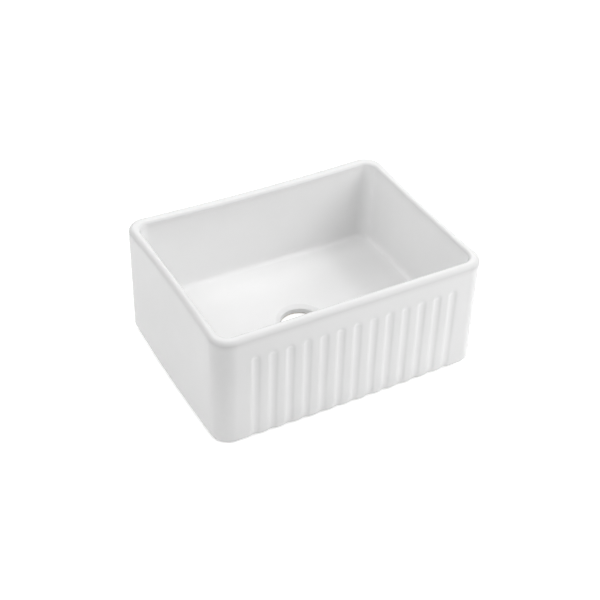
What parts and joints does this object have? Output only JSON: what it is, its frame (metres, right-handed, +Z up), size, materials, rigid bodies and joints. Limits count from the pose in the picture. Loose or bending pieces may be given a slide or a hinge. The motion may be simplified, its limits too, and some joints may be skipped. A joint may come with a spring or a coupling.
{
  "type": "apron front kitchen sink",
  "caption": "Farmhouse kitchen sink in glazed fireclay: fluted apron front, soft rim, open bowl with a sloped floor, round waste hole in the middle, and a hollow underside inside its foot.",
  "frame": {"origin": "on the plane that the foot stands on, under the middle of the sink, which is also under the middle of the waste hole", "axes": "+X to the right along the apron, seen from its front; +Y from the fluted apron to the back; +Z up"},
  "size_m": [0.6098, 0.459, 0.254],
  "materials": {
    "glazed_fireclay": "gloss white glaze"
  },
  "bodies": {
    "root": {"fireclay_basin": "glazed_fireclay"}
  },
  "joints": []
}
